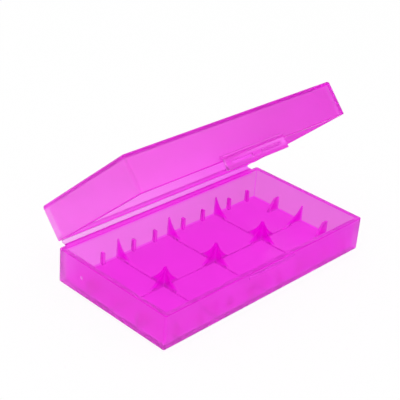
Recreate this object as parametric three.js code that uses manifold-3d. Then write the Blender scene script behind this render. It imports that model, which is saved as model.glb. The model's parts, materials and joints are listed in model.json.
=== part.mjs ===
// Two-row cell storage case: a shallow tray and a lid of the same plan, moulded in one
// piece of translucent polypropylene and joined along the back by a thin film hinge.
// Millimetres, +Z up. The origin is the centre of the tray's underside, X runs along the
// hinge, and the latch is on the -Y side. The lid stands open, as it rests on a table.

import * as THREE from 'three';
import { mergeVertices } from 'three/addons/utils/BufferGeometryUtils.js';
import Module from 'manifold-3d';

const wasm = await Module();
wasm.setup();

// Case as a whole
const caseLength = 76.8;
const caseWidth = 40;
const wallThickness = 1.35;
const cornerRadius = 2.2;
const partingGap = 0.1;
const cornerSteps = 5;
const edgeSteps = 3;

// Tray
const trayHeight = 10.2;
const floorThickness = 0.95;
const trayEdgeRadius = 0.6;

// Lid
const lidHeight = 10.1;
const lidTopThickness = 1.15;
const lidEdgeRadius = 0.7;
const lidOpenDegrees = 42.1;

// Film hinge along the back rim
const hingeOffset = 2.1;
const hingeEndInset = 2.5;
const flangeDepth = 0.6;
const flangeThickness = 0.9;
const filmThickness = 0.35;
const filmClearance = 0.3;
const filmSteps = 8;

// Ribs on the tray floor, with spikes that keep the two rows of cells apart
const bayCount = 4;
const ribThickness = 0.9;
const ribHeight = 0.35;
const spikeTipWidth = 0.6;
const starSpikeHeight = 5.5;
const starSpikeReach = 4.6;
const wallSpikeHeight = 5.2;
const wallSpikeReach = 4.8;
const endSpikeHeight = 4.4;
const endSpikeReach = 6;
const flankWaistRunShare = 0.25;
const flankWaistRiseShare = 0.42;
const flankSteps = 7;

// Wall posts, two in each bay on both long walls
const postSpacing = 8;
const postThickness = 0.7;
const postDepth = 1.1;
const postHeight = 3.6;
const postTopFall = 0.2;

// End stops, two on each end wall
const stopSpacing = 18.6;
const stopThickness = 0.9;
const stopHeight = 3.95;
const stopTopDepth = 1.65;
const stopFootDepth = 4.7;

// Latch on the front of the lid and the bead that it snaps over
const latchWidth = 24.4;
const latchDrop = 2.85;
const latchRise = 0.45;
const latchThickness = 0.6;
const latchStandOff = 0.65;
const latchRootHeight = 0.8;
const latchFlexGap = 0.3;
const hookDepth = 0.5;
const hookHeight = 0.95;
const slotLength = 7.6;
const slotHeight = 0.7;
const slotAboveHook = 0.35;
const slotBridge = 3;
const beadLength = 18;
const beadDepth = 0.45;
const beadHeight = 0.9;
const beadToHook = 0.15;
const beadSteps = 6;

const plasticColour = 0xee3adf;
const plasticRoughness = 0.32;

// Sizes worked out from those above
const innerLength = caseLength - 2 * wallThickness;
const innerWidth = caseWidth - 2 * wallThickness;
const bayPitch = caseLength / bayCount;
const hingeY = caseWidth / 2 + hingeOffset;
const hingeZ = trayHeight + partingGap / 2;
const hingeLength = caseLength - 2 * hingeEndInset;
const filmHalfSpan = hingeOffset - flangeDepth;
const lidOpenAngle = THREE.MathUtils.degToRad(lidOpenDegrees);

const part = new THREE.Group();

function addMesh(parent, name, geometry) {
  const material = new THREE.MeshStandardMaterial({
    color: plasticColour,
    roughness: plasticRoughness,
    metalness: 0,
  });
  const mesh = new THREE.Mesh(geometry, material);
  mesh.name = name;
  parent.add(mesh);
  return mesh;
}

// Solids from closed meshes and back
function toSolid(geometry) {
  const bare = geometry.clone();
  bare.deleteAttribute('normal');
  bare.deleteAttribute('uv');
  const merged = mergeVertices(bare);
  return new wasm.Manifold(new wasm.Mesh({
    numProp: 3,
    vertProperties: Float32Array.from(merged.attributes.position.array),
    triVerts: Uint32Array.from(merged.index.array),
  }));
}

function toGeometry(solid) {
  const mesh = solid.getMesh();
  const geometry = new THREE.BufferGeometry();
  geometry.setAttribute('position', new THREE.Float32BufferAttribute(mesh.vertProperties, 3));
  geometry.setIndex(Array.from(mesh.triVerts));
  return geometry;
}

// One ring of a rounded rectangle, drawn in by inset on every side, at height z
function roundedRing(inset, z) {
  const radius = Math.max(cornerRadius - inset, cornerRadius / 10);
  const cornerX = caseLength / 2 - inset - radius;
  const cornerY = caseWidth / 2 - inset - radius;
  const ring = [];
  for (let corner = 0; corner < 4; corner += 1) {
    const signX = corner === 0 || corner === 3 ? 1 : -1;
    const signY = corner < 2 ? 1 : -1;
    for (let step = 0; step <= cornerSteps; step += 1) {
      const angle = (corner + step / cornerSteps) * Math.PI / 2;
      ring.push([
        signX * cornerX + radius * Math.cos(angle),
        signY * cornerY + radius * Math.sin(angle),
        z,
      ]);
    }
  }
  return ring;
}

// A closed body skinned over rings, the first and the last of them capped
function skinRings(rings) {
  const count = rings[0].length;
  const index = [];
  for (let level = 0; level + 1 < rings.length; level += 1) {
    for (let i = 0; i < count; i += 1) {
      const next = (i + 1) % count;
      const a = level * count + i;
      const b = level * count + next;
      const c = (level + 1) * count + next;
      const d = (level + 1) * count + i;
      index.push(a, b, c, a, c, d);
    }
  }
  const top = (rings.length - 1) * count;
  for (let i = 1; i + 1 < count; i += 1) {
    index.push(0, i + 1, i);
    index.push(top, top + i, top + i + 1);
  }
  const geometry = new THREE.BufferGeometry();
  geometry.setAttribute('position', new THREE.Float32BufferAttribute(rings.flat(2), 3));
  geometry.setIndex(index);
  return geometry;
}

// An open box: rounded outer edge round the base, plain walls, and a flat floor inside
function openBox(height, baseThickness, edgeRadius) {
  const rings = [];
  for (let step = 0; step <= edgeSteps; step += 1) {
    const angle = (step / edgeSteps) * Math.PI / 2;
    rings.push(roundedRing(
      edgeRadius * (1 - Math.sin(angle)),
      edgeRadius * (1 - Math.cos(angle)),
    ));
  }
  rings.push(roundedRing(0, height));
  rings.push(roundedRing(wallThickness, height));
  rings.push(roundedRing(wallThickness, baseThickness));
  return skinRings(rings);
}

// A bar with the given section in the YZ plane, centred on x
function barAlongX(section, length, x) {
  const geometry = new THREE.ExtrudeGeometry(section, { depth: length, bevelEnabled: false });
  const basis = new THREE.Matrix4().makeBasis(
    new THREE.Vector3(0, 1, 0),
    new THREE.Vector3(0, 0, 1),
    new THREE.Vector3(1, 0, 0),
  );
  geometry.applyMatrix4(basis);
  geometry.translate(x - length / 2, 0, 0);
  return geometry;
}

// A bar with the given section in the XZ plane, centred on y
function barAlongY(section, length, y) {
  const geometry = new THREE.ExtrudeGeometry(section, { depth: length, bevelEnabled: false });
  const basis = new THREE.Matrix4().makeBasis(
    new THREE.Vector3(1, 0, 0),
    new THREE.Vector3(0, 0, 1),
    new THREE.Vector3(0, -1, 0),
  );
  geometry.applyMatrix4(basis);
  geometry.translate(0, y + length / 2, 0);
  return geometry;
}

// A hollow flank: a curve that falls from a spike's tip to the top of its rib. It starts
// at along, comes down by height, and runs for reach in the direction of sign.
function flankPoints(along, sign, height, reach) {
  const ribTop = floorThickness + ribHeight;
  const waistX = along + sign * reach * flankWaistRunShare;
  const curve = new THREE.QuadraticBezierCurve(
    new THREE.Vector2(along, ribTop + height),
    new THREE.Vector2(waistX, ribTop + height * flankWaistRiseShare),
    new THREE.Vector2(along + sign * reach, ribTop),
  );
  return curve.getPoints(flankSteps);
}

// Back flange of a half: a flat bar under the rim with a sloping root
function flangeSection() {
  const wallY = caseWidth / 2 - wallThickness / 2;
  const endY = caseWidth / 2 + flangeDepth;
  const section = new THREE.Shape();
  section.moveTo(wallY, trayHeight);
  section.lineTo(wallY, trayHeight - 2 * flangeThickness);
  section.lineTo(caseWidth / 2, trayHeight - 2 * flangeThickness);
  section.lineTo(endY, trayHeight - flangeThickness);
  section.lineTo(endY, trayHeight);
  return section;
}

// Tray shell with its hinge flange
const trayFlange = toSolid(barAlongX(flangeSection(), hingeLength, 0));
const trayShell = toSolid(openBox(trayHeight, floorThickness, trayEdgeRadius)).add(trayFlange);
addMesh(part, 'tray_shell', toGeometry(trayShell));

// Spine rib along the middle of the floor, with a spike at each crossing and at each end
function spineSection() {
  const end = innerLength / 2;
  const endTop = floorThickness + ribHeight + endSpikeHeight;
  const tip = spikeTipWidth / 2;
  const points = [
    new THREE.Vector2(-end, floorThickness),
    new THREE.Vector2(end, floorThickness),
    new THREE.Vector2(end, endTop),
    ...flankPoints(end - tip, -1, endSpikeHeight, endSpikeReach),
  ];
  for (let crossing = bayCount - 1; crossing >= 1; crossing -= 1) {
    const x = (crossing - bayCount / 2) * bayPitch;
    points.push(...flankPoints(x + tip, 1, starSpikeHeight, starSpikeReach).reverse());
    points.push(...flankPoints(x - tip, -1, starSpikeHeight, starSpikeReach));
  }
  points.push(...flankPoints(-end + tip, 1, endSpikeHeight, endSpikeReach).reverse());
  points.push(new THREE.Vector2(-end, endTop));
  return new THREE.Shape(points);
}
addMesh(part, 'spine_rib', barAlongY(spineSection(), ribThickness, 0));

// Half of a cross rib, from the spine to the wall on the side of sign
function crossRibSection(sign) {
  const start = ribThickness / 2;
  const end = innerWidth / 2;
  const tip = spikeTipWidth / 2;
  const star = flankPoints(tip, 1, starSpikeHeight, starSpikeReach);
  const wall = flankPoints(end - tip, -1, wallSpikeHeight, wallSpikeReach).reverse();
  const next = Math.max(star.findIndex((point) => point.x > start), 1);
  const [above, below] = [star[next - 1], star[next]];
  const flankZ = THREE.MathUtils.mapLinear(start, above.x, below.x, above.y, below.y);
  const startZ = Math.min(flankZ, star[0].y);
  const outline = [
    new THREE.Vector2(end, floorThickness),
    new THREE.Vector2(start, floorThickness),
    new THREE.Vector2(start, startZ),
    ...star.slice(next),
    ...wall,
    new THREE.Vector2(end, floorThickness + ribHeight + wallSpikeHeight),
  ];
  return new THREE.Shape(outline.map((point) => new THREE.Vector2(sign * point.x, point.y)));
}

const longSides = [['front', -1], ['back', 1]];
for (const [side, sign] of longSides) {
  for (let crossing = 1; crossing < bayCount; crossing += 1) {
    const x = (crossing - bayCount / 2) * bayPitch;
    addMesh(part, `cross_rib_${side}_${crossing}`, barAlongX(crossRibSection(sign), ribThickness, x));
  }
}

// Posts on the long walls
function postSection(sign) {
  const wallY = innerWidth / 2;
  const section = new THREE.Shape();
  section.moveTo(sign * wallY, floorThickness);
  section.lineTo(sign * wallY, floorThickness + postHeight);
  section.lineTo(sign * (wallY - postDepth), floorThickness + postHeight - postTopFall);
  section.lineTo(sign * (wallY - postDepth), floorThickness);
  return section;
}

for (const [side, sign] of longSides) {
  for (let bay = 0; bay < bayCount; bay += 1) {
    const bayCentre = (bay + 1 / 2 - bayCount / 2) * bayPitch;
    for (const place of [-1, 1]) {
      const x = bayCentre + place * postSpacing / 2;
      const number = 2 * bay + (place + 1) / 2 + 1;
      addMesh(part, `${side}_wall_post_${number}`, barAlongX(postSection(sign), postThickness, x));
    }
  }
}

// Stops on the end walls
function stopSection(sign) {
  const wallX = innerLength / 2;
  const section = new THREE.Shape();
  section.moveTo(sign * wallX, floorThickness);
  section.lineTo(sign * wallX, floorThickness + stopHeight);
  section.lineTo(sign * (wallX - stopTopDepth), floorThickness + stopHeight);
  section.lineTo(sign * (wallX - stopFootDepth), floorThickness);
  return section;
}

for (const [end, endSign] of [['left', -1], ['right', 1]]) {
  for (const [side, sign] of longSides) {
    const y = sign * stopSpacing / 2;
    addMesh(part, `${end}_end_stop_${side}`, barAlongY(stopSection(endSign), stopThickness, y));
  }
}

// Heights of the latch, measured with the lid shut
const rimZ = trayHeight + partingGap;
const latchTopZ = rimZ + latchRise;
const latchBottomZ = rimZ - latchDrop;
const hookTopZ = latchBottomZ + hookHeight;

// Bead across the front wall, half round, just above where the hook comes to rest
function beadSection() {
  const wallY = -caseWidth / 2;
  const centreZ = hookTopZ + beadToHook + beadHeight / 2;
  const points = [];
  for (let step = 0; step <= beadSteps; step += 1) {
    const angle = (step / beadSteps) * Math.PI;
    points.push(new THREE.Vector2(
      wallY - beadDepth * Math.sin(angle),
      centreZ + (beadHeight / 2) * Math.cos(angle),
    ));
  }
  return new THREE.Shape(points);
}
addMesh(part, 'catch_bead', barAlongX(beadSection(), beadLength, 0));

// Film hinge: a bent strip from the tray's flange round the axis to the lid's flange.
// Its section is drawn about the hinge axis, Y across and Z up.
function filmSection() {
  const flangeEnd = new THREE.Vector2(-filmHalfSpan, -partingGap / 2 - filmThickness / 2);
  const lidEnd = new THREE.Vector2(flangeEnd.x, -flangeEnd.y)
    .rotateAround(new THREE.Vector2(0, 0), -lidOpenAngle);
  const lidWay = new THREE.Vector2(Math.cos(lidOpenAngle), -Math.sin(lidOpenAngle));
  const run = (lidEnd.y - flangeEnd.y) / -lidWay.y;
  const bend = new THREE.Vector2(lidEnd.x + run * lidWay.x, flangeEnd.y);
  const stop = lidEnd.clone().addScaledVector(lidWay, filmClearance);
  const curve = new THREE.QuadraticBezierCurve(flangeEnd, bend, stop);
  const outer = [];
  const inner = [];
  for (let step = 0; step <= filmSteps; step += 1) {
    const point = curve.getPoint(step / filmSteps);
    const way = curve.getTangent(step / filmSteps);
    const across = new THREE.Vector2(way.y, -way.x).multiplyScalar(filmThickness / 2);
    outer.push(point.clone().add(across));
    inner.push(point.clone().sub(across));
  }
  return new THREE.Shape([...outer, ...inner.reverse()]);
}
const film = addMesh(part, 'hinge_film', barAlongX(filmSection(), hingeLength, 0));
film.position.set(0, hingeY, hingeZ);

// Lid, built shut in the tray's frame and then turned open about the hinge axis
const lid = new THREE.Group();
lid.position.set(0, hingeY, hingeZ);
lid.rotation.x = -lidOpenAngle;
part.add(lid);

function lidShell() {
  const shell = openBox(lidHeight, lidTopThickness, lidEdgeRadius);
  shell.rotateX(Math.PI);
  shell.translate(0, 0, rimZ + lidHeight);
  const flange = barAlongX(flangeSection(), hingeLength, 0);
  flange.rotateX(Math.PI);
  flange.translate(0, 0, trayHeight + rimZ);
  flange.rotateZ(Math.PI);
  const rootSection = new THREE.Shape();
  const rootY = -caseWidth / 2 - latchStandOff - latchThickness;
  const rootZ = latchTopZ + latchFlexGap;
  rootSection.moveTo(-caseWidth / 2 + wallThickness / 2, rootZ);
  rootSection.lineTo(rootY, rootZ);
  rootSection.lineTo(rootY, rootZ + latchRootHeight / 2);
  rootSection.lineTo(-caseWidth / 2, rootZ + latchRootHeight);
  rootSection.lineTo(-caseWidth / 2 + wallThickness / 2, rootZ + latchRootHeight);
  const root = barAlongX(rootSection, latchWidth, 0);
  const solid = toSolid(shell).add(toSolid(flange)).add(toSolid(root));
  const geometry = toGeometry(solid);
  geometry.translate(0, -hingeY, -hingeZ);
  return geometry;
}
addMesh(lid, 'lid_shell', lidShell());

// Latch tab: a thin plate in front of the rim with a hook along its lower edge
function latchSection() {
  const backY = -caseWidth / 2 - latchStandOff;
  const frontY = backY - latchThickness;
  const section = new THREE.Shape();
  section.moveTo(backY, latchTopZ);
  section.lineTo(frontY, latchTopZ);
  section.lineTo(frontY, latchBottomZ);
  section.lineTo(backY, latchBottomZ);
  section.lineTo(backY + hookDepth, latchBottomZ + hookHeight / 2);
  section.lineTo(backY + hookDepth, hookTopZ);
  section.lineTo(backY, hookTopZ);
  return section;
}

// Two slots through the tab above its hook, with a bridge between them
function latchTab() {
  const frontY = -caseWidth / 2 - latchStandOff - latchThickness;
  const slotZ = hookTopZ + slotAboveHook;
  const opening = new THREE.Shape();
  opening.moveTo(frontY - latchThickness, slotZ);
  opening.lineTo(frontY - latchThickness, slotZ + slotHeight);
  opening.lineTo(frontY + 2 * latchThickness, slotZ + slotHeight);
  opening.lineTo(frontY + 2 * latchThickness, slotZ);
  let tab = toSolid(barAlongX(latchSection(), latchWidth, 0));
  for (const side of [-1, 1]) {
    const x = side * (slotBridge + slotLength) / 2;
    tab = tab.subtract(toSolid(barAlongX(opening, slotLength, x)));
  }
  return toGeometry(tab);
}
const latch = new THREE.Group();
latch.position.set(0, -hingeY, -hingeZ);
lid.add(latch);
addMesh(latch, 'latch_tab', latchTab());

export default part;
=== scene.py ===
"""The looks of a hinged cell storage case moulded in translucent magenta polypropylene.

The case is a tray with ribs and spikes, a plain lid, a thin film hinge along the back
and a snap latch on the front. Lengths are in metres. The origin is the centre of the
tray's underside, X runs along the hinge and the latch is on the -Y side. The lid is
modelled shut and then turned open about the hinge.
"""

import json
import logging
import math
from collections.abc import Callable, Iterator
from contextlib import contextmanager
from dataclasses import dataclass, field
from enum import Enum

import bmesh
import bpy
from mathutils import Matrix, Vector


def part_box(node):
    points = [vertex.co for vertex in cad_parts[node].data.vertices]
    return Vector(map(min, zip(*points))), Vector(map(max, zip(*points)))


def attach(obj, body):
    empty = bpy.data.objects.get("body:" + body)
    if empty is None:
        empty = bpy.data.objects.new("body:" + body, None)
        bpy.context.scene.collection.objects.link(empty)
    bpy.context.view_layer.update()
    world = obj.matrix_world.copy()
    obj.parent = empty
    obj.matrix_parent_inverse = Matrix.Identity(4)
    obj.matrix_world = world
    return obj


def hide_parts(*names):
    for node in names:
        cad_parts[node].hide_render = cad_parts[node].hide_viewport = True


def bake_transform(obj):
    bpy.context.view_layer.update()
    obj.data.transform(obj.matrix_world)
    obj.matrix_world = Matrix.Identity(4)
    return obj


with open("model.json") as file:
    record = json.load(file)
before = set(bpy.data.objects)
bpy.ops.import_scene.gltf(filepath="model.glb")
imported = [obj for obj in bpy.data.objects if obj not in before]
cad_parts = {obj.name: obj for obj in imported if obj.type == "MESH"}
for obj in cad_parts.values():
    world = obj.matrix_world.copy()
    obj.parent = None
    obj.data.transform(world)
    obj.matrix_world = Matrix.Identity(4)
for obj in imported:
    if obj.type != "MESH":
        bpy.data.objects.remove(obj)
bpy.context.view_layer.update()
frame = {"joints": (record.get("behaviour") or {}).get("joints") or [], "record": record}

LOG = logging.getLogger("case")
MM = 0.001
CLOSE = 0.02 * MM
PARTING_GAP = 0.1 * MM

# Angles between two faces: above the first the edge stays sharp to the eye, and above the
# second an edge of the latch gets a rounding.
SHARP_DEGREES = 32
ROUNDED_DEGREES = 50

# How much of a face's unit normal lies along an axis. A face counts as square to the axis,
# facing that way or mostly facing that way above the first three, as upright below the
# fourth, and as slanting above the last along both X and Y.
SQUARE = 0.99
FACING = 0.9
MOSTLY = 0.7
UPRIGHT = 0.3
SLANTING = 0.1

# Segments of a small and of a larger rounding, and sides of a round bar.
SMALL_ROUNDING = 3
ROUNDING = 4
ROUND_SIDES = 24


class Side(Enum):
    """The two long sides of the case, by the sign of Y."""

    FRONT = -1
    BACK = 1


class Pick(Enum):
    """The kinds of element that an edit-mode selection holds."""

    VERTS = "VERT"
    EDGES = "EDGE"
    FACES = "FACE"


class Combine(Enum):
    """What a closed piece does to another one."""

    WELD = "UNION"
    CUT = "DIFFERENCE"


class Section(Enum):
    """How much plastic light crosses behind a face, by the number of its finish, save for the base,
    whose deeper tint is painted shade, and the gate, whose paler tint is a painted highlight.
    """

    WALL = 0
    RIM = 1
    DEEP = 2
    BACK = 3
    # Painted shade: the base's deeper tint stands for the shaded table seen through it.
    BASE = 4
    BLADE = 5
    # Painted highlight: a paler finish that paints a bright spot.
    GATE = 6


class Modeller:
    """Edit-mode modelling steps that every part of the case is made with."""

    finishes: list[bpy.types.Material] = []

    @staticmethod
    def make_active(piece: bpy.types.Object) -> None:
        """Selects one object alone and makes it the active one.

        Args:
            piece: The object.
        """
        bpy.ops.object.select_all(action="DESELECT")
        piece.select_set(True)
        bpy.context.view_layer.objects.active = piece

    @staticmethod
    def block(name: str, low: Vector, high: Vector) -> bpy.types.Object:
        """Adds a rectangular block to start a piece from.

        Args:
            name: The new object's name.
            low: Its lowest corner.
            high: Its highest corner.

        Returns:
            The block, with its place in its mesh.
        """
        low, high = Vector(low), Vector(high)
        bpy.ops.object.select_all(action="DESELECT")
        bpy.ops.mesh.primitive_cube_add(size=1, location=(low + high) / 2, scale=high - low)
        piece = bpy.context.object
        piece.name = name
        piece.data.name = name
        bpy.ops.object.transform_apply(location=True, rotation=True, scale=True)
        Modeller.add_finishes(piece)
        return piece

    @staticmethod
    def round_bar(name: str, middle: Vector, radius: float, length: float) -> bpy.types.Object:
        """Adds a round bar along X to start a piece from.

        Args:
            name: The new object's name.
            middle: Its centre.
            radius: Its radius.
            length: Its length.

        Returns:
            The bar, with its place in its mesh.
        """
        bpy.ops.object.select_all(action="DESELECT")
        bpy.ops.mesh.primitive_cylinder_add(
            vertices=ROUND_SIDES, radius=radius, depth=length, location=middle,
            rotation=(0, math.pi / 2, 0),
        )
        piece = bpy.context.object
        piece.name = name
        bpy.ops.object.transform_apply(location=True, rotation=True, scale=True)
        Modeller.add_finishes(piece)
        return piece

    @staticmethod
    def add_finishes(piece: bpy.types.Object) -> None:
        """Gives a piece one slot for each finish, in the order of their sections."""
        for finish in Modeller.finishes:
            piece.data.materials.append(finish)

    @staticmethod
    def finish_faces(
        piece: bpy.types.Object, section: Section, wanted: Callable[[bpy.types.MeshPolygon], bool]
    ) -> None:
        """Gives the faces that a test accepts the finish of a section.

        Args:
            piece: The piece, in object mode.
            section: The section whose finish they get.
            wanted: The test, given one face.
        """
        for face in piece.data.polygons:
            if wanted(face):
                face.material_index = section.value

    @staticmethod
    @contextmanager
    def editing(piece: bpy.types.Object) -> Iterator[None]:
        """Opens an object in edit mode with nothing selected, and leaves edit mode after.

        Args:
            piece: The object.

        Returns:
            What a with statement holds the mode open by.
        """
        Modeller.make_active(piece)
        bpy.ops.object.mode_set(mode="EDIT")
        bpy.ops.mesh.select_all(action="DESELECT")
        try:
            yield
        finally:
            bpy.ops.object.mode_set(mode="OBJECT")

    @staticmethod
    def pick(piece: bpy.types.Object, kind: Pick, wanted: Callable[..., bool]) -> None:
        """Selects the elements of the open mesh that a test accepts.

        Args:
            piece: The object in edit mode.
            kind: What is selected.
            wanted: The test, given one vertex, edge or face.
        """
        bpy.ops.mesh.select_mode(type=kind.value)
        bpy.ops.mesh.select_all(action="DESELECT")
        mesh = bmesh.from_edit_mesh(piece.data)
        elements = {Pick.VERTS: mesh.verts, Pick.EDGES: mesh.edges, Pick.FACES: mesh.faces}[kind]
        for element in [element for element in elements if wanted(element)]:
            element.select_set(True)
        mesh.select_flush_mode()
        bmesh.update_edit_mesh(piece.data)

    @staticmethod
    def bevel(width: float, segments: int) -> None:
        """Rounds the selected edges of the open mesh.

        Args:
            width: The rounding's radius.
            segments: How many faces it has.
        """
        bpy.ops.mesh.bevel(
            offset=width, offset_type="OFFSET", segments=segments, profile=0.5,
            affect="EDGES", clamp_overlap=True,
        )

    @staticmethod
    def combine(piece: bpy.types.Object, others: list[bpy.types.Object], way: Combine) -> None:
        """Joins closed pieces to a closed piece, or cuts them out of it, and removes them.

        Args:
            piece: The piece that is kept.
            others: The pieces that are added or cut out.
            way: Which of the two is done.
        """
        for other in others:
            Modeller.make_active(piece)
            change = piece.modifiers.new("combine", "BOOLEAN")
            change.operation = way.value
            change.solver = "MANIFOLD"
            change.object = other
            bpy.ops.object.modifier_apply(modifier=change.name)
            bpy.data.objects.remove(other)

    @staticmethod
    def finish_surface(piece: bpy.types.Object, sharp_degrees: float) -> None:
        """Merges doubles, turns the faces outwards and shades the round ones smooth.

        Args:
            piece: The finished piece.
            sharp_degrees: The angle between faces above which an edge stays sharp.
        """
        with Modeller.editing(piece):
            bpy.ops.mesh.select_all(action="SELECT")
            bpy.ops.mesh.remove_doubles(threshold=CLOSE / 100)
            bpy.ops.mesh.normals_make_consistent(inside=False)
        Modeller.make_active(piece)
        bpy.ops.object.shade_smooth_by_angle(angle=math.radians(sharp_degrees))


def is_level(edge: bmesh.types.BMEdge, z: float) -> bool:
    """True if both ends of an edge lie at height z."""
    return all(abs(vert.co.z - z) < CLOSE for vert in edge.verts)


def is_upright(edge: bmesh.types.BMEdge) -> bool:
    """True if an edge runs from one height to another."""
    return abs(edge.verts[0].co.z - edge.verts[1].co.z) > CLOSE


def turns_down(edge: bmesh.types.BMEdge) -> bool:
    """True if a level face and an upright face meet at an edge."""
    tilts = [abs(face.normal.z) for face in edge.link_faces]
    return len(tilts) == 2 and max(tilts) > FACING and min(tilts) < UPRIGHT


@dataclass(frozen=True)
class FrostedPlastic:
    """Translucent polypropylene with a lightly frosted, glossy skin.

    Args:
        name: The material's name.
        tint: What a wall of it lets through, in linear light.
        clouding: How far the colour drifts from place to place.
        right_end_shade: What the tint is multiplied by at the right end of the case, a painted
            shade that darkens the case towards that end.
        clearness: The share of light that passes through the skin.
        index: How strongly it bends light.
        gloss: The lowest and the highest roughness of the skin.
        grain: How deep the skin's grain is.
        grain_strength: How much of the grain shows.
        clouds_scale: Drifts of colour for each metre.
        smears_scale: Changes of gloss for each metre.
        grain_scale: Grains for each metre.
    """

    name: str
    tint: tuple[float, float, float] = (1, 0.24, 0.94)
    clouding: float = 0.05
    # Painted shade: by default the colour deepens towards the right end of the case.
    right_end_shade: tuple[float, float, float] = (1, 0.28, 1)
    clearness: float = 0.9
    index: float = 1.2
    gloss: tuple[float, float] = (0.28, 0.34)
    grain: float = 0.003 * MM
    grain_strength: float = 0.5
    clouds_scale: float = 90
    smears_scale: float = 420
    grain_scale: float = 2600

    def build(self) -> bpy.types.Material:
        """Makes the material's nodes.

        Returns:
            The new material.
        """
        material = bpy.data.materials.new(self.name)
        material.use_nodes = True
        tree = material.node_tree
        tree.nodes.clear()
        place = tree.nodes.new("ShaderNodeTexCoord")
        surface = tree.nodes.new("ShaderNodeBsdfPrincipled")
        surface.inputs["IOR"].default_value = self.index
        surface.inputs["Transmission Weight"].default_value = self.clearness

        clouds = self._noise(tree, place, scale=self.clouds_scale, detail=3)
        colour = tree.nodes.new("ShaderNodeMix")
        colour.data_type = "RGBA"
        paler = [min(1, c * (1 + self.clouding)) for c in self.tint]
        colour.inputs["A"].default_value = (*(c * (1 - self.clouding) for c in self.tint), 1)
        colour.inputs["B"].default_value = (*paler, 1)
        tree.links.new(clouds.outputs["Fac"], colour.inputs["Factor"])
        # Painted shade: the colour deepens towards the right end of the case.
        shaded = self._paint_right_end_shade(tree, place, colour)
        tree.links.new(shaded.outputs["Result"], surface.inputs["Base Color"])

        smears = self._noise(tree, place, scale=self.smears_scale, detail=4)
        spread = tree.nodes.new("ShaderNodeMapRange")
        spread.inputs["To Min"].default_value = self.gloss[0]
        spread.inputs["To Max"].default_value = self.gloss[1]
        tree.links.new(smears.outputs["Fac"], spread.inputs["Value"])
        tree.links.new(spread.outputs["Result"], surface.inputs["Roughness"])

        grain = self._noise(tree, place, scale=self.grain_scale, detail=5)
        bump = tree.nodes.new("ShaderNodeBump")
        bump.inputs["Strength"].default_value = self.grain_strength
        bump.inputs["Distance"].default_value = self.grain
        tree.links.new(grain.outputs["Fac"], bump.inputs["Height"])
        tree.links.new(bump.outputs["Normal"], surface.inputs["Normal"])
        self._let_light_in(tree, surface)
        return material

    def _paint_right_end_shade(
        self, tree: bpy.types.NodeTree, place: bpy.types.Node, colour: bpy.types.Node
    ) -> bpy.types.Node:
        """Deepens a colour from the left end of the case to the right one, as painted shade.

        Args:
            tree: The material's nodes.
            place: The texture coordinates.
            colour: The mix node with the colour.

        Returns:
            The mix node with the deepened colour.
        """
        half_length = -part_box("tray_shell")[0][0]
        axes = tree.nodes.new("ShaderNodeSeparateXYZ")
        tree.links.new(place.outputs["Object"], axes.inputs["Vector"])
        share = tree.nodes.new("ShaderNodeMapRange")
        share.inputs["From Min"].default_value = -half_length
        share.inputs["From Max"].default_value = half_length
        tree.links.new(axes.outputs["X"], share.inputs["Value"])
        shaded = tree.nodes.new("ShaderNodeMix")
        shaded.data_type = "RGBA"
        shaded.blend_type = "MULTIPLY"
        shaded.inputs["B"].default_value = (*self.right_end_shade, 1)
        tree.links.new(share.outputs["Result"], shaded.inputs["Factor"])
        tree.links.new(colour.outputs["Result"], shaded.inputs["A"])
        return shaded

    def _let_light_in(self, tree: bpy.types.NodeTree, surface: bpy.types.Node) -> None:
        """Lets tinted light from the lamps through the skin to what lies behind it.

        Args:
            tree: The material's nodes.
            surface: The skin's shader.
        """
        path = tree.nodes.new("ShaderNodeLightPath")
        passed = tree.nodes.new("ShaderNodeBsdfTransparent")
        passed.inputs["Color"].default_value = (*(math.sqrt(c) for c in self.tint), 1)
        blend = tree.nodes.new("ShaderNodeMixShader")
        output = tree.nodes.new("ShaderNodeOutputMaterial")
        tree.links.new(path.outputs["Is Shadow Ray"], blend.inputs["Fac"])
        tree.links.new(surface.outputs["BSDF"], blend.inputs[1])
        tree.links.new(passed.outputs["BSDF"], blend.inputs[2])
        tree.links.new(blend.outputs["Shader"], output.inputs["Surface"])

    @staticmethod
    def _noise(
        tree: bpy.types.NodeTree, place: bpy.types.Node, scale: float, detail: float
    ) -> bpy.types.Node:
        """Adds a noise pattern on object coordinates.

        Args:
            tree: The material's nodes.
            place: The texture coordinates.
            scale: Features for each metre.
            detail: How many finer layers it has.

        Returns:
            The noise node.
        """
        noise = tree.nodes.new("ShaderNodeTexNoise")
        noise.inputs["Scale"].default_value = scale
        noise.inputs["Detail"].default_value = detail
        tree.links.new(place.outputs["Object"], noise.inputs["Vector"])
        return noise


@dataclass
class Hinge:
    """The hinge axis and how far the lid stands open, read from the frame."""

    y: float = 0
    z: float = 0
    open_angle: float = 0

    def __post_init__(self) -> None:
        """Reads the lid's joint."""
        joint = next(j for j in frame["joints"] if j["name"] == "lid_hinge")
        self.y, self.z = joint["pos_m"][1:]
        self.open_angle = math.radians(-joint["range_deg"][0])

    def opened(self) -> Matrix:
        """Works out how the lid opens.

        Returns:
            The matrix that carries a piece from the shut lid to the open one.
        """
        axis = Vector((0, self.y, self.z))
        turn = Matrix.Rotation(-self.open_angle, 4, "X")
        return Matrix.Translation(axis) @ turn @ Matrix.Translation(-axis)


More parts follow.
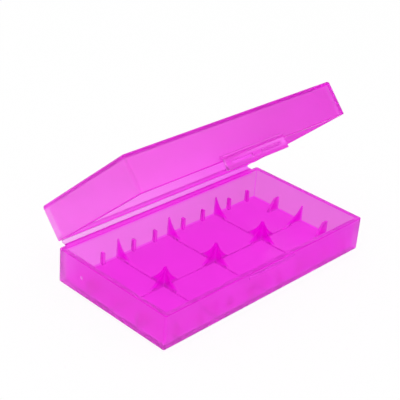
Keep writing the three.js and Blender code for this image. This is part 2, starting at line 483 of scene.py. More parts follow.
@dataclass
class BoxHalf:
    """One half of the case: an open box with a hinge flange, modelled as the tray lies.

    Args:
        name: The piece's name.
        height: From the outer face of the base to the rim.
        base: Thickness of the base.
        edge_radius: Rounding of the outer edge round the base.
        edge_depth: How far up that edge looks deep in colour.
        strip_height: How far up the walls look darker, in front of the base.
        deep_corners: True if the inner upright corners look deep in colour.
        base_section: The finish of the base.
        wall: Thickness of the walls.
        corner_radius: Rounding of the outer upright corners.
        inner_radius: Rounding of the inner upright corners.
        rim_radius: Rounding of the rim's edges.
        inner_fillet: Rounding between the walls and the base, inside.
        flange_thickness: Thickness of the hinge flange.
        flange_edge: Rounding of the flange's free edge.
        corner_segments: Segments of the upright corners.
        edge_segments: Segments of the outer edge round the base.
        length: Along the hinge, read from the frame.
        width: Across the hinge, read from the frame.
    """

    name: str
    height: float
    base: float
    edge_radius: float
    edge_depth: float
    strip_height: float
    deep_corners: bool
    base_section: Section
    wall: float = 1.35 * MM
    corner_radius: float = 0.65 * MM
    inner_radius: float = 0.5 * MM
    rim_radius: float = 0.22 * MM
    inner_fillet: float = 0.5 * MM
    flange_thickness: float = 0.9 * MM
    flange_edge: float = 0.15 * MM
    corner_segments: int = 8
    edge_segments: int = 5
    length: float = field(init=False)
    width: float = field(init=False)

    def __post_init__(self) -> None:
        """Takes the plan of the case from the tray's flat walls in the frame."""
        low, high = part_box("tray_shell")
        self.length = high[0] - low[0]
        self.width = -2 * low[1]

    def build(self) -> bpy.types.Object:
        """Models the box and welds its flange on.

        Returns:
            The closed piece.
        """
        half_length, half_width = self.length / 2, self.width / 2
        shell = Modeller.block(
            self.name, (-half_length, -half_width, 0), (half_length, half_width, self.height)
        )
        with Modeller.editing(shell):
            Modeller.pick(shell, Pick.FACES, lambda f: f.normal.z > FACING)
            bpy.ops.mesh.inset(thickness=self.wall, use_even_offset=True)
            bpy.ops.mesh.extrude_region_move(
                TRANSFORM_OT_translate={"value": (0, 0, self.base - self.height)}
            )
            Modeller.pick(
                shell, Pick.EDGES, lambda e: is_upright(e) and self.is_outside(e.verts[0].co)
            )
            Modeller.bevel(self.corner_radius, self.corner_segments)
            Modeller.pick(
                shell, Pick.EDGES, lambda e: is_upright(e) and not self.is_outside(e.verts[0].co)
            )
            Modeller.bevel(self.inner_radius, self.corner_segments)
            Modeller.pick(shell, Pick.EDGES, lambda e: is_level(e, 0))
            Modeller.bevel(self.edge_radius, self.edge_segments)
            Modeller.pick(shell, Pick.EDGES, lambda e: is_level(e, self.height) and turns_down(e))
            Modeller.bevel(self.rim_radius, SMALL_ROUNDING)
            Modeller.pick(shell, Pick.EDGES, lambda e: is_level(e, self.base) and turns_down(e))
            Modeller.bevel(self.inner_fillet, ROUNDING)
            Modeller.pick(shell, Pick.FACES, lambda f: self.is_outside(f.calc_center_median()))
            bpy.ops.mesh.bisect(plane_co=(0, 0, self.strip_height), plane_no=(0, 0, 1))
        Modeller.finish_faces(shell, Section.BACK, self.is_back)
        Modeller.finish_faces(shell, self.base_section, self.is_base)
        Modeller.finish_faces(shell, Section.RIM, self.is_rim)
        Modeller.finish_faces(shell, Section.DEEP, self.is_deep)
        Modeller.combine(shell, [self.flange()], Combine.WELD)
        return shell

    def is_outside(self, place: Vector) -> bool:
        """True for a point on the outer faces of the walls."""
        past_x = abs(place.x) > self.length / 2 - self.wall / 2
        return past_x or abs(place.y) > self.width / 2 - self.wall / 2

    def is_back(self, face: bpy.types.MeshPolygon) -> bool:
        """True for both faces of the wall on the hinge's side."""
        at_back = face.center.y > self.width / 2 - self.wall - CLOSE
        return at_back and abs(face.normal.y) > MOSTLY

    def is_base(self, face: bpy.types.MeshPolygon) -> bool:
        """True for both faces of the base."""
        return face.center.z < self.base + CLOSE and abs(face.normal.z) > SQUARE

    def is_rim(self, face: bpy.types.MeshPolygon) -> bool:
        """True for the top of the rim and for the strip of the walls in front of the base."""
        at_strip = self.is_outside(face.center) and face.center.z < self.strip_height
        return at_strip or face.center.z > self.height - CLOSE

    def is_deep(self, face: bpy.types.MeshPolygon) -> bool:
        """Tells the faces that show a wall's depth.

        Args:
            face: A face of the box.

        Returns:
            True for the rim's roundings, the lower part of the edge round the base and, where
            the box has deep corners, its inner upright corners.
        """
        at_rim = self.height - self.rim_radius < face.center.z < self.height - CLOSE
        at_edge = face.center.z < self.edge_depth and face.normal.z > -SQUARE
        slants = min(abs(face.normal.x), abs(face.normal.y)) > SLANTING
        at_corner = self.deep_corners and slants and not self.is_outside(face.center)
        return at_rim or at_edge or at_corner

    def flange(self) -> bpy.types.Object:
        """Models the hinge flange behind the rim, with a sloping root.

        Returns:
            The flange, which reaches into the back wall.
        """
        film_low, film_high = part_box("hinge_film")
        low = (film_low[0], self.width / 2 - self.wall / 2, self.height - 2 * self.flange_thickness)
        high = (film_high[0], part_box("tray_shell")[1][1], self.height - CLOSE)
        flange = Modeller.block("flange", low, high)
        with Modeller.editing(flange):
            Modeller.pick(
                flange, Pick.EDGES,
                lambda e: is_level(e, low[2]) and all(v.co.y > high[1] - CLOSE for v in e.verts),
            )
            bpy.ops.transform.translate(value=(0, 0, self.flange_thickness))
            Modeller.pick(
                flange, Pick.EDGES,
                lambda e: all(v.co.y > high[1] - CLOSE for v in e.verts) and turns_down(e)
                and e.verts[0].co.z < high[2] - CLOSE,
            )
            Modeller.bevel(self.flange_edge, SMALL_ROUNDING)
        Modeller.finish_faces(flange, Section.DEEP, lambda face: True)
        return flange


@dataclass
class SpikeBlade:
    """One blade of a spike, with hollow flanks that fall to the top of its rib.

    Args:
        height: How far the tip stands above the rib.
        reach: How far a flank runs along the rib.
        tip: Half of the flat tip's length, or all of it where the blade has one flank.
        both_ways: True if it has a flank at both ends, and false if one end is upright.
        waist_run: How far along the flank its bend is drawn in, as a share of the reach.
        waist_rise: How high that is, as a share of the height.
        tip_thickness: Thickness at the tip.
        foot_thickness: Thickness at the foot.
        root: How far it reaches into what is under it.
        foot_sink: How far the foot's end lies under the rib's top.
        slices: Parts that each flank is made of.
    """

    height: float
    reach: float
    tip: float
    both_ways: bool
    waist_run: float = 0.25
    waist_rise: float = 0.42
    tip_thickness: float = 0.46 * MM
    foot_thickness: float = 0.8 * MM
    root: float = 0.5 * MM
    foot_sink: float = 0.12 * MM
    slices: int = 12

    def build(self, name: str, rib_top: float) -> bpy.types.Object:
        """Models the blade along X, with its tip over the Z axis.

        Args:
            name: The blade's name.
            rib_top: Height of the rib's top.

        Returns:
            The blade, which reaches a little into what is under it.
        """
        run = self.reach + self.tip
        half = self.foot_thickness / 2
        first = -self.slices if self.both_ways else 0
        low = (first / self.slices * run, -half, rib_top - self.root)
        blade = Modeller.block(name, low, (run, half, rib_top + self.height))
        with Modeller.editing(blade):
            Modeller.pick(
                blade, Pick.EDGES, lambda e: abs(e.verts[0].co.x - e.verts[1].co.x) > CLOSE
            )
            bpy.ops.mesh.subdivide(number_cuts=self.slices - first - 1)
        columns = {
            number: [v.index for v in blade.data.vertices
                     if abs(v.co.x - run * number / self.slices) < CLOSE]
            for number in range(first, self.slices + 1)
        }
        with Modeller.editing(blade):
            for number, column in columns.items():
                self._place_column(blade, number, set(column), rib_top)
        Modeller.finish_faces(blade, Section.BLADE, lambda face: True)
        return blade

    def flank(self, share: float) -> tuple[float, float]:
        """Follows the flank's curve.

        Args:
            share: How far along the curve, from the tip to the foot.

        Returns:
            The run along the rib and the height above it, as shares of the flank's own.
        """
        bend = 2 * share * (1 - share)
        return bend * self.waist_run + share ** 2, (1 - share) ** 2 + bend * self.waist_rise

    def _place_column(
        self, blade: bpy.types.Object, number: int, column: set[int], rib_top: float
    ) -> None:
        """Moves one upright row of the blade onto its flank and thins it towards the tip.

        Args:
            blade: The blade in edit mode.
            number: The column's number, counted from the tip and negative behind it.
            column: Its vertices.
            rib_top: Height of the rib's top.
        """
        share = max(abs(number) - 1, 0) / (self.slices - 1)
        run, rise = self.flank(share)
        way = (number > 0) - (number < 0)
        along = way * (self.tip + run * self.reach)
        drop = (1 - rise) * self.height + share * self.foot_sink
        start = number / self.slices * (self.reach + self.tip)
        Modeller.pick(blade, Pick.VERTS, lambda v: v.index in column)
        bpy.ops.transform.translate(value=(along - start, 0, 0))
        Modeller.pick(blade, Pick.VERTS, lambda v: v.index in column and v.co.z > rib_top)
        bpy.ops.transform.translate(value=(0, 0, -drop))
        thinning = 1 + rise * (self.tip_thickness / self.foot_thickness - 1)
        bpy.ops.transform.resize(value=(1, thinning, 1))


@dataclass
class Tray(BoxHalf):
    """The tray with its ribs, spikes, posts, end stops and catch bead.

    Args:
        rib_thickness: Thickness of the ribs on the floor.
        rib_height: Their height over the floor.
        rib_edge: Rounding of their top edges.
        spike_tip: Half the length of a spike's flat tip.
        star_reach: How far a star spike's flanks run along the ribs.
        wall_reach: The same for the spikes against the long walls.
        end_reach: The same for the spikes against the end walls.
        wall_height: Height of the long walls' spikes over the ribs.
        end_height: Height of the end walls' spikes over the ribs.
        sink: How far a feature reaches into the wall or floor it is welded to.
        stop_top: Depth of an end stop at its top.
        top_rounding: Rounding of the posts' and stops' tops.
        post_widening: How much wider than the frame's node a post is, at each side.
        gate_radius: Radius of the gate's dimple.
        gate_depth: Its depth.
        gate_place: Its Y and Z on the left wall.
        draft: Width of a post or stop at its top, as a share of its foot.
        cross_ribs: How many ribs run across.
        posts_a_side: How many posts each long wall has.
    """

    name: str = "tray_moulding"
    height: float = 10.2 * MM
    base: float = 0.95 * MM
    edge_radius: float = 0.6 * MM
    edge_depth: float = 0.3 * MM
    strip_height: float = 0.3 * MM
    deep_corners: bool = False
    # Painted shade: the tray's base gets a deeper tint for the shaded table under it.
    base_section: Section = Section.BASE
    rib_thickness: float = 0.95 * MM
    rib_height: float = 0.35 * MM
    rib_edge: float = 0.28 * MM
    spike_tip: float = 0.3 * MM
    star_reach: float = 4.6 * MM
    wall_reach: float = 4.8 * MM
    end_reach: float = 6 * MM
    wall_height: float = 5.2 * MM
    end_height: float = 4.4 * MM
    sink: float = 0.3 * MM
    stop_top: float = 1.65 * MM
    top_rounding: float = 0.16 * MM
    post_widening: float = 0.15 * MM
    gate_radius: float = 0.5 * MM
    gate_depth: float = 0.3 * MM
    gate_place: tuple[float, float] = (10.8 * MM, 5.6 * MM)
    draft: float = 0.8
    cross_ribs: int = 3
    posts_a_side: int = 8

    def build(self) -> bpy.types.Object:
        """Models the whole tray as one closed piece.

        Returns:
            The tray.
        """
        tray = super().build()
        features = [*self.ribs(), *self.spikes(), *self.posts(), *self.stops(), self.bead()]
        LOG.info("tray: %d features to weld", len(features))
        Modeller.combine(tray, features, Combine.WELD)
        Modeller.combine(tray, [self.gate()], Combine.CUT)
        return tray

    def is_back(self, face: bpy.types.MeshPolygon) -> bool:
        """True for both faces of every wall but the front one."""
        return super().is_back(face) or abs(face.normal.x) > MOSTLY

    def nodes(self) -> list[str]:
        """The frame's nodes that the tray stands for."""
        bodies = frame["record"]["behaviour"]["bodies"]
        return [node for node in bodies["tray"] if node != "hinge_film"]

    def crossings(self) -> list[float]:
        """Where the cross ribs stand along X."""
        boxes = [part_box(f"cross_rib_back_{number}") for number in range(1, self.cross_ribs + 1)]
        return [(low[0] + high[0]) / 2 for low, high in boxes]

    def ribs(self) -> list[bpy.types.Object]:
        """Models the low ribs: one along the middle and three across.

        Returns:
            The ribs.
        """
        half = self.rib_thickness / 2
        top = self.base + self.rib_height
        end_x = self.length / 2 - self.wall / 2
        end_y = self.width / 2 - self.wall / 2
        bottom = self.base - self.sink
        ribs = [Modeller.block("spine", (-end_x, -half, bottom), (end_x, half, top))]
        for x in self.crossings():
            ribs.append(Modeller.block("cross", (x - half, -end_y, bottom), (x + half, end_y, top)))
        for rib in ribs:
            with Modeller.editing(rib):
                Modeller.pick(rib, Pick.EDGES, lambda e: is_level(e, top))
                Modeller.bevel(self.rib_edge, ROUNDING)
            # Painted shade: the ribs share the base's deeper tint for the shaded table beneath.
            Modeller.finish_faces(rib, Section.BASE, lambda face: True)
        return ribs

    def spikes(self) -> list[bpy.types.Object]:
        """Models the star spikes and the half spikes against the walls.

        Returns:
            The blades of all the spikes, in place.
        """
        rib_top = self.base + self.rib_height
        star_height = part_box("spine_rib")[1][2] - rib_top
        wall_tip = self.spike_tip + self.sink
        star = SpikeBlade(star_height, self.star_reach, self.spike_tip, True)
        wall = SpikeBlade(self.wall_height, self.wall_reach, wall_tip, False)
        end = SpikeBlade(self.end_height, self.end_reach, wall_tip, False)
        inner_x = self.length / 2 - self.wall
        inner_y = self.width / 2 - self.wall
        blades = []
        for x in self.crossings():
            for quarter in (0, 1):
                turn = Matrix.Rotation(quarter * math.pi / 2, 4, "Z")
                blade = star.build("star_blade", rib_top)
                blade.data.transform(Matrix.Translation((x, 0, 0)) @ turn)
                blades.append(blade)
            for side in Side:
                turn = Matrix.Rotation(-side.value * math.pi / 2, 4, "Z")
                blade = wall.build("wall_blade", rib_top)
                place = Matrix.Translation((x, side.value * (inner_y + self.sink), 0))
                blade.data.transform(place @ turn)
                blades.append(blade)
        for way in (0, 1):
            blade = end.build("end_blade", rib_top)
            place = Matrix.Translation(((2 * way - 1) * (inner_x + self.sink), 0, 0))
            blade.data.transform(place @ Matrix.Rotation(way * math.pi, 4, "Z"))
            blades.append(blade)
        return blades

    def posts(self) -> list[bpy.types.Object]:
        """Models the small posts on the long walls where the frame has them.

        Returns:
            The posts, each reaching into the wall and the floor.
        """
        posts = []
        for side in Side:
            for number in range(1, self.posts_a_side + 1):
                low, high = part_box(f"{side.name.lower()}_wall_post_{number}")
                low, high = Vector(low), Vector(high)
                low.x -= self.post_widening
                high.x += self.post_widening
                low.z -= self.sink
                if side is Side.BACK:
                    high.y += self.sink
                else:
                    low.y -= self.sink
                post = Modeller.block("post", low, high)
                with Modeller.editing(post):
                    Modeller.pick(post, Pick.FACES, lambda f: f.normal.z > FACING)
                    bpy.ops.transform.resize(value=(self.draft, 1, 1))
                    Modeller.pick(post, Pick.EDGES, lambda e: is_level(e, high.z))
                    Modeller.bevel(self.top_rounding, SMALL_ROUNDING)
                Modeller.finish_faces(post, Section.DEEP, lambda face: True)
                posts.append(post)
        return posts

    def stops(self) -> list[bpy.types.Object]:
        """Models the sloping stops on the end walls.

        Returns:
            The stops, each reaching into the wall and the floor.
        """
        stops = []
        for node in self.nodes():
            if "end_stop" not in node:
                continue
            low, high = (Vector(corner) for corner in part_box(node))
            outward = math.copysign(1, low.x + high.x)
            inner = low.x if outward > 0 else high.x
            lean = outward * (high.x - low.x - self.stop_top)
            low.z -= self.sink
            if outward > 0:
                high.x += self.sink
            else:
                low.x -= self.sink
            stop = Modeller.block("stop", low, high)
            with Modeller.editing(stop):
                Modeller.pick(
                    stop, Pick.VERTS,
                    lambda v: abs(v.co.x - inner) < CLOSE and v.co.z > high.z - CLOSE,
                )
                bpy.ops.transform.translate(value=(lean, 0, 0))
                Modeller.pick(stop, Pick.FACES, lambda f: f.normal.z > FACING)
                bpy.ops.transform.resize(value=(1, self.draft, 1))
                Modeller.pick(stop, Pick.EDGES, lambda e: is_level(e, high.z))
                Modeller.bevel(self.top_rounding, SMALL_ROUNDING)
            Modeller.finish_faces(stop, Section.RIM, lambda face: True)
            stops.append(stop)
        return stops

    def gate(self) -> bpy.types.Object:
        """Models what the gate's small round dimple in the left wall is cut with. Its faces carry a
        pale finish, a painted highlight.

        Returns:
            The cutter, a short cylinder through the wall's outer face.
        """
        middle = (-self.length / 2, *self.gate_place)
        cutter = Modeller.round_bar("gate", middle, self.gate_radius, 2 * self.gate_depth)
        # Painted highlight: the dimple's faces get the pale finish.
        Modeller.finish_faces(cutter, Section.GATE, lambda face: True)
        return cutter

    def bead(self) -> bpy.types.Object:
        """Models the half-round bead that the latch snaps over.

        Returns:
            The bead, with rounded ends, half of it inside the front wall.
        """
        low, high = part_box("catch_bead")
        radius = high[1] - low[1]
        middle = (0, high[1], (low[2] + high[2]) / 2)
        bead = Modeller.round_bar("bead", middle, radius, high[0] - low[0])
        with Modeller.editing(bead):
            Modeller.pick(
                bead, Pick.EDGES, lambda e: abs(abs(e.verts[0].co.x) - high[0]) < CLOSE
                and abs(e.verts[0].co.x - e.verts[1].co.x) < CLOSE,
            )
            Modeller.bevel(radius / 2, SMALL_ROUNDING)
        return bead


@dataclass
class Lid(BoxHalf):
    """The plain lid, modelled base down, then turned over and opened.

    Args:
        end_strip: Width of the front wall's deeper strip at the right end.
    """

    name: str = "lid_moulding"
    height: float = 10.1 * MM
    base: float = 1.15 * MM
    edge_radius: float = 0.74 * MM
    corner_radius: float = 0.8 * MM
    edge_depth: float = 0.74 * MM
    strip_height: float = 1.15 * MM
    deep_corners: bool = True
    base_section: Section = Section.WALL
    end_strip: float = 1.85 * MM

    def build(self) -> bpy.types.Object:
        """Models the lid and carries it to its open place.

        Returns:
            The lid.
        """
        lid = super().build()
        with Modeller.editing(lid):
            Modeller.pick(lid, Pick.FACES, lambda f: f.normal.y < -SQUARE)
            strip_end = (self.end_strip - self.length / 2, 0, 0)
            bpy.ops.mesh.bisect(plane_co=strip_end, plane_no=(1, 0, 0))
        Modeller.finish_faces(lid, Section.RIM, self.is_end_strip)
        over = Matrix.Rotation(math.pi, 4, "Y")
        up = Matrix.Translation((0, 0, Tray.height + PARTING_GAP + self.height))
        lid.data.transform(up @ over)
        Modeller.combine(lid, [self.latch_root()], Combine.WELD)
        lid.data.transform(Hinge().opened())
        return lid

    def is_end_strip(self, face: bpy.types.MeshPolygon) -> bool:
        """True for the strip of the front wall in front of the wall at the right end."""
        at_front = face.normal.y < -SQUARE and face.center.y < self.wall / 2 - self.width / 2
        return at_front and face.center.x < self.end_strip - self.length / 2

    def latch_root(self) -> bpy.types.Object:
        """Models the bar that the latch hangs from, on the shut lid.

        Returns:
            The bar, which reaches into the front wall.
        """
        latch = Latch()
        half = latch.width / 2
        front = latch.wall_y - latch.stand_off - latch.thickness
        low = (-half, front, latch.root_z())
        high = (half, latch.wall_y + self.wall / 2, latch.root_z() + latch.root_height)
        bar = Modeller.block("latch_root", low, high)
        with Modeller.editing(bar):
            Modeller.pick(
                bar, Pick.EDGES,
                lambda e: is_level(e, high[2]) and all(v.co.y < front + CLOSE for v in e.verts),
            )
            bpy.ops.transform.translate(value=(0, 0, -latch.root_height / 2))
            Modeller.bevel(latch.rounding, SMALL_ROUNDING)
        return bar


@dataclass
class Latch:
    """The latch tab with its thin flexing edge, its hook and its two slots.

    Args:
        width: Along the hinge.
        wall_y: Y of the front wall's outer face.
        stand_off: How far in front of that wall the tab hangs.
        thickness: Thickness of the tab.
        rim_z: Height of the lid's rim, lid shut.
        drop: How far the tab hangs under the rim.
        rise: How far the tab reaches over the rim.
        flex: Height of the thin edge that bends.
        flex_thinning: How much thinner that edge is, at each face.
        root_height: Height of the bar that the tab hangs from.
        root_gap: Gap between the tab and the bar.
        hook_depth: How far the hook stands in.
        hook_height: Height of the hook.
        hook_slope: How far its underside leans.
        slot_length: Length of a slot.
        slot_height: Height of a slot.
        slot_above_hook: How far over the hook the slots start.
        slot_bridge: Plastic left between the slots.
        rounding: Rounding of the edges.
    """

    width: float = 22.6 * MM
    wall_y: float = -20 * MM
    stand_off: float = 0.65 * MM
    thickness: float = 0.6 * MM
    rim_z: float = Tray.height + PARTING_GAP
    drop: float = 2.85 * MM
    rise: float = 0.45 * MM
    flex: float = 0.3 * MM
    flex_thinning: float = 0.14 * MM
    root_height: float = 0.8 * MM
    root_gap: float = 0.02 * MM
    hook_depth: float = 0.5 * MM
    hook_height: float = 0.95 * MM
    hook_slope: float = 0.4 * MM
    slot_length: float = 7.6 * MM
    slot_height: float = 0.7 * MM
    slot_above_hook: float = 0.35 * MM
    slot_bridge: float = 3 * MM
    rounding: float = 0.12 * MM

    def root_z(self) -> float:
        """Height of the underside of the bar that the tab hangs from, lid shut."""
        return self.rim_z + self.rise + self.flex

    def build(self) -> bpy.types.Object:
        """Models the tab shut and carries it to its open place.

        Returns:
            The latch.
        """
        back = self.wall_y - self.stand_off
        front = back - self.thickness
        bottom = self.rim_z - self.drop
        top = self.root_z() - self.root_gap
        half = self.width / 2
        hook_top = bottom + self.hook_height
        tab = Modeller.block("latch_moulding", (-half, front, bottom), (half, back, top))
        with Modeller.editing(tab):
            for height in (hook_top, top - self.flex, top - self.flex / 2):
                bpy.ops.mesh.select_all(action="SELECT")
                bpy.ops.mesh.bisect(plane_co=(0, 0, height), plane_no=(0, 0, 1))
            Modeller.pick(
                tab, Pick.FACES,
                lambda f: f.normal.y > FACING and f.calc_center_median().z < hook_top,
            )
            bpy.ops.mesh.extrude_region_move(
                TRANSFORM_OT_translate={"value": (0, self.hook_depth, 0)}
            )
            Modeller.pick(
                tab, Pick.VERTS, lambda v: abs(v.co.z - bottom) < CLOSE and v.co.y > back + CLOSE
            )
            bpy.ops.transform.translate(value=(0, -self.hook_slope, 0))
            for face_y, way in ((front, 1), (back, -1)):
                Modeller.pick(
                    tab, Pick.VERTS,
                    lambda v: v.co.z > top - self.flex + CLOSE and abs(v.co.y - face_y) < CLOSE,
                )
                bpy.ops.transform.translate(value=(0, way * self.flex_thinning, 0))
            Modeller.pick(
                tab, Pick.EDGES,
                lambda e: len(e.link_faces) == 2
                and e.calc_face_angle(0) > math.radians(ROUNDED_DEGREES)
                and all(v.co.z < top - self.flex + CLOSE for v in e.verts),
            )
            Modeller.bevel(self.rounding, SMALL_ROUNDING)
        Modeller.combine(tab, self.slots(front, back, hook_top), Combine.CUT)
        tab.data.transform(Hinge().opened())
        return tab

    def slots(self, front: float, back: float, hook_top: float) -> list[bpy.types.Object]:
        """Models what is cut out of the tab above its hook.

        Args:
            front: Y of the tab's outer face.
            back: Y of its inner face.
            hook_top: Height of the hook's top.

        Returns:
            The two blocks that the slots are cut with.
        """
        cutters = []
        for side in (-1, 1):
            middle = side * (self.slot_bridge + self.slot_length) / 2
            low = (middle - self.slot_length / 2, front - self.thickness,
                   hook_top + self.slot_above_hook)
            high = (middle + self.slot_length / 2, back + self.thickness, low[2] + self.slot_height)
            cutter = Modeller.block("slot", low, high)
            with Modeller.editing(cutter):
                Modeller.pick(
                    cutter, Pick.EDGES, lambda e: abs(e.verts[0].co.y - e.verts[1].co.y) > CLOSE
                )
                Modeller.bevel(self.rounding, SMALL_ROUNDING)
            cutters.append(cutter)
        return cutters


@dataclass
class HingeFilm:
    """The thin film that bends between the two flanges.

    Args:
        thickness: Thickness of the film.
        gap: Gap between the film's end and the tray's flange.
        steps: Parts that its bend is made of.
    """

    thickness: float = 0.35 * MM
    gap: float = 0.02 * MM
    steps: int = 14

    def ends(self) -> tuple[Vector, Vector, Vector]:
        """Works out the film's path across X.

        Returns:
            Where it leaves the tray, the point that it bends towards, and where it
            meets the lid.
        """
        hinge = Hinge()
        flange_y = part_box("tray_shell")[1][1]
        rise = (PARTING_GAP + self.thickness) / 2
        start = Vector((0, flange_y + self.gap, hinge.z - rise))
        shut_end = start.copy()
        shut_end.z = hinge.z + rise
        end = hinge.opened() @ shut_end
        way = Vector((0, math.cos(hinge.open_angle), -math.sin(hinge.open_angle)))
        bend = end + way * ((end.z - start.z) / -way.z)
        return start, bend, end

    def build(self) -> bpy.types.Object:
        """Models the film by drawing an edge along its path and giving it its thickness.

        Returns:
            The film.
        """
        start, bend, end = self.ends()
        low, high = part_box("hinge_film")
        bpy.ops.object.select_all(action="DESELECT")
        bpy.ops.mesh.primitive_plane_add(size=high[0] - low[0], location=start)
        film = bpy.context.object
        film.name = "hinge_film_moulding"
        bpy.ops.object.transform_apply(location=True, rotation=True, scale=True)
        Modeller.add_finishes(film)
        with Modeller.editing(film):
            Modeller.pick(film, Pick.VERTS, lambda v: v.co.y < start.y)
            bpy.ops.mesh.delete(type="VERT")
            Modeller.pick(film, Pick.VERTS, lambda v: True)
            far = high[0] - low[0]
            bpy.ops.transform.translate(value=(0, -far / 2, 0))
            previous = start
            for step in range(1, self.steps + 1):
                share = step / self.steps
                point = start * (1 - share) ** 2 + bend * 2 * share * (1 - share) + end * share ** 2
                bpy.ops.mesh.extrude_region_move(TRANSFORM_OT_translate={"value": point - previous})
                previous = point
        Modeller.make_active(film)
        thick = film.modifiers.new("thickness", "SOLIDIFY")
        thick.thickness = self.thickness
        thick.offset = 0
        bpy.ops.object.modifier_apply(modifier=thick.name)
        return film


@dataclass(frozen=True)
class Lamp:
    """A large square light.

    Args:
        name: The light's name.
        place: Where it hangs.
        power: Its power in watts.
    """

    name: str
    place: tuple[float, float, float]
    power: float


@dataclass
class Studio:
    """A pale floor, soft lights and a camera where the photograph was taken from.

    Args:
        focal_pixels: Focal length, in pixels of the picture.
        picture_pixels: Width of the picture.
        sensor: Width of the camera's sensor in millimetres.
        azimuth: Which way the camera looks, in degrees.
        elevation: How steeply it looks down, in degrees.
        roll: How far it is tilted, in degrees.
        camera_place: Where it stands.
        floor_size: Length and width of the floor.
        floor_glow: Share of plain white in the floor that is seen.
        floor_z: Height of the floor.
        floor_colour: How pale the floor is.
        soft_light: Strength of the light from all round.
        lamp_size: Length and width of a lamp.
        lamps: The lamps.
    """

    focal_pixels: float = 1064.93
    picture_pixels: float = 400
    sensor: float = 36
    azimuth: float = -47.66
    elevation: float = 28.37
    roll: float = 4.76
    camera_place: tuple[float, float, float] = (-188.2 * MM, -164.22 * MM, 154.46 * MM)
    floor_size: float = 4
    floor_glow: float = 0.9
    floor_z: float = -0.3 * MM
    floor_colour: float = 0.95
    soft_light: float = 0.78
    lamp_size: float = 1.5
    lamps: tuple[Lamp, ...] = (
        Lamp("key", (-0.5, -0.45, 0.9), 5.0),
        Lamp("fill", (0.5, -0.7, 0.6), 0.5),
        Lamp("rim", (-0.3, 0.9, 0.7), 2.0),
    )

    def build(self) -> None:
        """Sets up the floor, the world, the lights and the camera."""
        self.floor()
        self.world()
        for lamp in self.lamps:
            self.hang(lamp)
        self.camera()

    def floor(self) -> None:
        """Adds the floor, which looks white past the object and keeps a soft shadow."""
        bpy.ops.object.select_all(action="DESELECT")
        bpy.ops.mesh.primitive_plane_add(size=self.floor_size, location=(0, 0, self.floor_z))
        floor = bpy.context.object
        floor.name = "floor"
        material = bpy.data.materials.new("white_floor")
        material.use_nodes = True
        tree = material.node_tree
        tree.nodes.clear()
        matte = tree.nodes.new("ShaderNodeBsdfDiffuse")
        matte.inputs["Color"].default_value = (*[self.floor_colour] * 3, 1)
        glow = tree.nodes.new("ShaderNodeEmission")
        blend = tree.nodes.new("ShaderNodeMixShader")
        output = tree.nodes.new("ShaderNodeOutputMaterial")
        seen = self.seen_directly(tree, self.floor_glow, ("Is Transmission Ray",))
        tree.links.new(seen, blend.inputs["Fac"])
        tree.links.new(matte.outputs["BSDF"], blend.inputs[1])
        tree.links.new(glow.outputs["Emission"], blend.inputs[2])
        tree.links.new(blend.outputs["Shader"], output.inputs["Surface"])
        floor.data.materials.append(material)

    @staticmethod
    def seen_directly(
        tree: bpy.types.NodeTree, share: float, also: tuple[str, ...]
    ) -> bpy.types.NodeSocket:
        """Adds nodes that tell rays of sight from light's rays.

        Args:
            tree: The nodes of the floor or the world.
            share: What rays of sight get; the others get zero.
            also: The other kinds of ray that get it.

        Returns:
            The socket with that number.
        """
        path = tree.nodes.new("ShaderNodeLightPath")
        total = path.outputs["Is Camera Ray"]
        for name in also:
            either = tree.nodes.new("ShaderNodeMath")
            either.operation = "MAXIMUM"
            tree.links.new(total, either.inputs[0])
            tree.links.new(path.outputs[name], either.inputs[1])
            total = either.outputs["Value"]
        scaled = tree.nodes.new("ShaderNodeMath")
        scaled.operation = "MULTIPLY"
        tree.links.new(total, scaled.inputs[0])
        scaled.inputs[1].default_value = share
        return scaled.outputs["Value"]

    def world(self) -> None:
        """Makes the world white where it is seen and softer where it lights the object."""
        world = bpy.data.worlds.new("studio")
        bpy.context.scene.world = world
        world.use_nodes = True
        tree = world.node_tree
        tree.nodes.clear()
        soft = tree.nodes.new("ShaderNodeBackground")
        soft.inputs["Color"].default_value = (1, 1, 1, 1)
        soft.inputs["Strength"].default_value = self.soft_light
        white = tree.nodes.new("ShaderNodeBackground")
        white.inputs["Color"].default_value = (1, 1, 1, 1)
        white.inputs["Strength"].default_value = 1
        blend = tree.nodes.new("ShaderNodeMixShader")
        output = tree.nodes.new("ShaderNodeOutputWorld")
        rays = ("Is Glossy Ray", "Is Transmission Ray")
        tree.links.new(self.seen_directly(tree, 1, rays), blend.inputs["Fac"])
        tree.links.new(soft.outputs["Background"], blend.inputs[1])
        tree.links.new(white.outputs["Background"], blend.inputs[2])
        tree.links.new(blend.outputs["Shader"], output.inputs["Surface"])

    def hang(self, lamp: Lamp) -> None:
        """Adds a lamp that faces the object.

        Args:
            lamp: Its name, place and power.
        """
        data = bpy.data.lights.new(lamp.name, "AREA")
        data.size = self.lamp_size
        data.energy = lamp.power
        light = bpy.data.objects.new(lamp.name, data)
        light.location = lamp.place
        light.rotation_euler = (-Vector(lamp.place)).to_track_quat("-Z", "Y").to_euler()
        bpy.context.scene.collection.objects.link(light)

    def camera(self) -> None:
        """Adds the camera and looks along the photograph's line of sight."""
        data = bpy.data.cameras.new("camera")
        data.sensor_width = self.sensor
        data.lens = self.sensor * self.focal_pixels / self.picture_pixels
        camera = bpy.data.objects.new("camera", data)
        turn = (
            Matrix.Rotation(math.radians(self.azimuth), 4, "Z")
            @ Matrix.Rotation(math.radians(90 - self.elevation), 4, "X")
            @ Matrix.Rotation(math.radians(self.roll), 4, "Z")
        )
        camera.matrix_world = Matrix.Translation(self.camera_place) @ turn
        bpy.context.scene.collection.objects.link(camera)
        bpy.context.scene.camera = camera


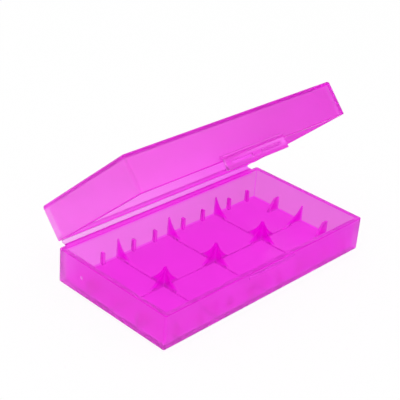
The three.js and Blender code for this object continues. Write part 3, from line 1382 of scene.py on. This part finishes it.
def dress(piece: bpy.types.Object, slot: str, *nodes: str) -> None:
    """Smooths a piece and lets it stand for its nodes.

    Args:
        piece: The finished piece, with its materials.
        slot: The record's material slot; not used.
        nodes: The frame's nodes that it replaces.
    """
    Modeller.finish_surface(piece, SHARP_DEGREES)
    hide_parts(*nodes)
    LOG.info("%s: %d faces", piece.name, len(piece.data.polygons))


def main() -> None:
    """Builds the case and its surroundings."""
    logging.basicConfig(level=logging.INFO)
    scene = bpy.context.scene
    scene.view_settings.view_transform = "Standard"
    Studio().build()

    walls = FrostedPlastic("tray_polypropylene").build()
    rim = FrostedPlastic("rim_polypropylene", tint=(0.98, 0.11, 0.87)).build()
    deep = FrostedPlastic("deep_polypropylene", tint=(0.95, 0.04, 0.84)).build()
    blade = FrostedPlastic(
        "blade_polypropylene", tint=(1, 0.09, 0.93), clearness=0.96, index=1.1
    ).build()
    # Painted shade: the base's deep tint stands for the shaded table seen through it under the
    # tray.
    base = FrostedPlastic("base_polypropylene", tint=(0.93, 0.05, 0.84), right_end_shade=(1, 1, 1)).build()
    # Painted shade: the tray's back and end walls darken towards the right end of the case.
    tray_back = FrostedPlastic(
        "tray_back_polypropylene", tint=(1, 0.22, 0.92), right_end_shade=(0.89, 0.88, 0.86)
    ).build()
    # Painted shade: the lid deepens towards the right end of the case.
    top = FrostedPlastic(
        "lid_polypropylene", tint=(1, 0.265, 0.91), right_end_shade=(0.91, 0.48, 0.9), clearness=0.65
    ).build()
    back = FrostedPlastic("back_polypropylene", tint=(1, 0.38, 0.93), clearness=0.85).build()
    tab = FrostedPlastic("latch_polypropylene", tint=(1, 0.34, 0.92)).build()
    hinge = FrostedPlastic("film_polypropylene", tint=(1, 0.54, 0.98)).build()
    # Painted highlight: a pale, less clear finish for the dimple's faces.
    gate = FrostedPlastic("gate_polypropylene", tint=(1, 0.6, 0.95), clearness=0.7).build()

    Modeller.finishes = [walls, rim, deep, tray_back, base, blade, gate]
    tray_half = Tray()
    tray = tray_half.build()
    dress(tray, "case_plastic", *tray_half.nodes())
    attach(tray, "tray")

    Modeller.finishes = [top, rim, deep, back]
    lid = Lid().build()
    dress(lid, "case_plastic", "lid_shell")
    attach(lid, "lid")

    Modeller.finishes = [tab]
    latch_tab = Latch()
    latch = latch_tab.build()
    dress(latch, "case_plastic", "latch_tab")
    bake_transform(latch)

    Modeller.finishes = [hinge]
    film_strip = HingeFilm()
    film = film_strip.build()
    dress(film, "hinge_plastic", "hinge_film")
    start, _, end = film_strip.ends()
    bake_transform(film)


if __name__ == "__main__":
    main()
